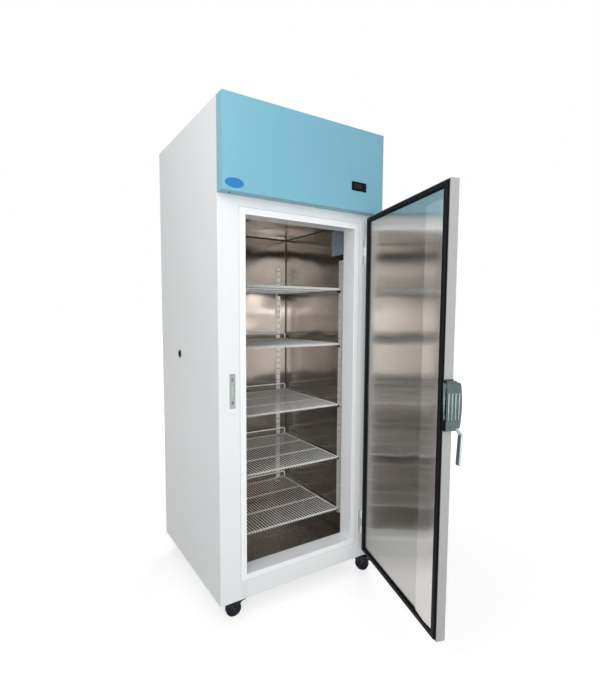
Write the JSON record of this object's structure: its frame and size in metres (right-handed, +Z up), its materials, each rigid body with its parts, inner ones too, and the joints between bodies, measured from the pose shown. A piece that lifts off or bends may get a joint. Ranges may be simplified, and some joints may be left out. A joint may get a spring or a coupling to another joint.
{
  "type": "upright laboratory freezer",
  "caption": "Upright laboratory freezer with a hinged solid door, wire shelves on slotted standards, a latch, a top machine compartment and braked castors.",
  "frame": {"origin": "on the floor, at the middle of the footprint that the cabinet and its open door cover", "axes": "+X to the right as seen from the front, +Y from the door side to the back, +Z up"},
  "size_m": [0.7633, 1.3714, 1.98],
  "materials": {
    "white_paint": "white powder coat, fine gloss",
    "blue_paint": "sky-blue powder coat, satin",
    "grey_paint": "grey baked enamel, satin",
    "black_paint": "black baked enamel, gloss",
    "galvanised": "galvanised sheet, dull",
    "door_paint": "pale grey coat on folded steel",
    "stainless": "brushed stainless, vertical grain",
    "chrome_part": "bright plated zinc casting",
    "zinc_part": "zinc plated, satin",
    "shelf_coat": "white dipped coat on steel wire",
    "trim_plastic": "white extruded plastic, gloss",
    "black_plastic": "black moulded plastic, fine texture",
    "key_plastic": "grey key cap, matt",
    "badge_plastic": "blue printed plastic, gloss",
    "gasket_rubber": "black soft vinyl, satin",
    "foam": "rigid insulating foam, unseen",
    "copper_pipe": "drawn copper tube",
    "copper_fin": "thin pressed fins on tube",
    "wheel_plastic": "black moulded wheel, hard tread"
  },
  "bodies": {
    "cabinet": {"side_panel_left": "white_paint", "side_panel_right": "white_paint", "back_panel": "white_paint", "base_pan": "galvanised", "top_cover": "white_paint", "front_frame": "white_paint", "kick_panel": "white_paint", "door_trim": "trim_plastic", "insulation_left": "foam", "cabinet_insulation": "foam", "inner_liner": "stainless", "shelf_standards": "stainless", "shelf_clips": "black_plastic", "shelf_1": "shelf_coat", "shelf_2": "shelf_coat", "shelf_3": "shelf_coat", "shelf_4": "shelf_coat", "shelf_5": "shelf_coat", "port_sleeve": "black_plastic", "machine_deck": "galvanised", "fascia": "blue_paint", "controller_bezel": "black_plastic", "badge": "badge_plastic", "panel_screws": "chrome_part", "strike_plate": "chrome_part", "hinge_frame_leaves": "zinc_part", "castor_plates": "grey_paint", "compressor": "black_paint", "condenser_coil": "copper_fin", "condenser_shroud": "galvanised", "fan_motors": "grey_paint", "refrigerant_pipes": "copper_pipe", "control_box": "galvanised", "power_inlet": "black_plastic", "evaporator_housing": "foam", "evaporator_coil": "copper_fin", "fan_guard": "stainless"},
    "door": {"door_skin": "door_paint", "door_foam": "foam", "door_liner": "stainless", "door_gasket": "gasket_rubber", "door_strip": "stainless", "hinge_door_leaves": "zinc_part", "latch_case": "chrome_part"},
    "latch_lever": {"latch_lever": "chrome_part"},
    "latch_jaw": {"latch_jaw": "zinc_part"},
    "key_up": {"key_up": "key_plastic"},
    "key_down": {"key_down": "key_plastic"},
    "condenser_fan": {"condenser_fan": "black_plastic"},
    "evaporator_fan": {"evaporator_fan": "black_plastic"},
    "castor_fork_fl": {"castor_fork_fl": "grey_paint"},
    "castor_wheel_fl": {"castor_wheel_fl": "wheel_plastic"},
    "castor_fork_fr": {"castor_fork_fr": "grey_paint"},
    "castor_wheel_fr": {"castor_wheel_fr": "wheel_plastic"},
    "castor_fork_rl": {"castor_fork_rl": "grey_paint"},
    "castor_wheel_rl": {"castor_wheel_rl": "wheel_plastic"},
    "castor_fork_rr": {"castor_fork_rr": "grey_paint"},
    "castor_wheel_rr": {"castor_wheel_rr": "wheel_plastic"},
    "brake_pedal_fl": {"brake_pedal_fl": "black_plastic"},
    "brake_pedal_fr": {"brake_pedal_fr": "black_plastic"}
  },
  "joints": [
    {"name": "door_hinge", "type": "hinge", "parent": "cabinet", "child": "door", "pos_m": [0.322, -0.05757, 0.88], "axis": [0, 0, 1], "range_deg": [-73, 42]},
    {"name": "latch_pull", "type": "hinge", "parent": "door", "child": "latch_lever", "pos_m": [0.16829, -0.66465, 0.857], "axis": [-0.2924, -0.9563, 0], "range_deg": [0, 35]},
    {"name": "jaw_slide", "type": "slide", "parent": "door", "child": "latch_jaw", "axis": [0.9563, -0.2924, 0], "range_m": [0, 0.006]},
    {"name": "key_up_press", "type": "slide", "parent": "cabinet", "child": "key_up", "axis": [0, 1, 0], "range_m": [0, 0.0015], "stiffness_N_per_m": 400},
    {"name": "key_down_press", "type": "slide", "parent": "cabinet", "child": "key_down", "axis": [0, 1, 0], "range_m": [0, 0.0015], "stiffness_N_per_m": 400},
    {"name": "condenser_fan_spin", "type": "hinge", "parent": "cabinet", "child": "condenser_fan", "pos_m": [0.2188, 0.60043, 1.8115], "axis": [0, 1, 0], "continuous": true},
    {"name": "evaporator_fan_spin", "type": "hinge", "parent": "cabinet", "child": "evaporator_fan", "pos_m": [-0.195, 0.21343, 1.647], "axis": [0, 0, 1], "continuous": true},
    {"name": "castor_fl_swivel", "type": "hinge", "parent": "cabinet", "child": "castor_fork_fl", "pos_m": [-0.335, 0.00643, 0.07], "axis": [0, 0, 1], "continuous": true},
    {"name": "castor_fl_roll", "type": "hinge", "parent": "castor_fork_fl", "child": "castor_wheel_fl", "pos_m": [-0.30511, 0.00382, 0.0315], "axis": [0.0872, 0.9962, 0], "continuous": true},
    {"name": "brake_fl_press", "type": "hinge", "parent": "castor_fork_fl", "child": "brake_pedal_fl", "pos_m": [-0.28018, 0.00164, 0.05929], "axis": [0.0872, 0.9962, 0], "range_deg": [0, 18]},
    {"name": "castor_fr_swivel", "type": "hinge", "parent": "cabinet", "child": "castor_fork_fr", "pos_m": [0.335, 0.00643, 0.07], "axis": [0, 0, 1], "continuous": true},
    {"name": "castor_fr_roll", "type": "hinge", "parent": "castor_fork_fr", "child": "castor_wheel_fr", "pos_m": [0.35, -0.01955, 0.0315], "axis": [0.866, 0.5, 0], "continuous": true},
    {"name": "brake_fr_press", "type": "hinge", "parent": "castor_fork_fr", "child": "brake_pedal_fr", "pos_m": [0.36251, -0.04122, 0.05929], "axis": [0.866, 0.5, 0], "range_deg": [0, 18]},
    {"name": "castor_rl_swivel", "type": "hinge", "parent": "cabinet", "child": "castor_fork_rl", "pos_m": [-0.335, 0.64043, 0.07], "axis": [0, 0, 1], "continuous": true},
    {"name": "castor_rl_roll", "type": "hinge", "parent": "castor_fork_rl", "child": "castor_wheel_rl", "pos_m": [-0.30566, 0.64667, 0.0315], "axis": [-0.2079, 0.9781, 0], "continuous": true},
    {"name": "castor_rr_swivel", "type": "hinge", "parent": "cabinet", "child": "castor_fork_rr", "pos_m": [0.335, 0.64043, 0.07], "axis": [0, 0, 1], "continuous": true},
    {"name": "castor_rr_roll", "type": "hinge", "parent": "castor_fork_rr", "child": "castor_wheel_rr", "pos_m": [0.30781, 0.65311, 0.0315], "axis": [-0.4226, -0.9063, 0], "continuous": true}
  ],
  "couplings": [
    {"joint": "jaw_slide", "follows": "latch_pull", "m_per_rad": 0.009822}
  ]
}
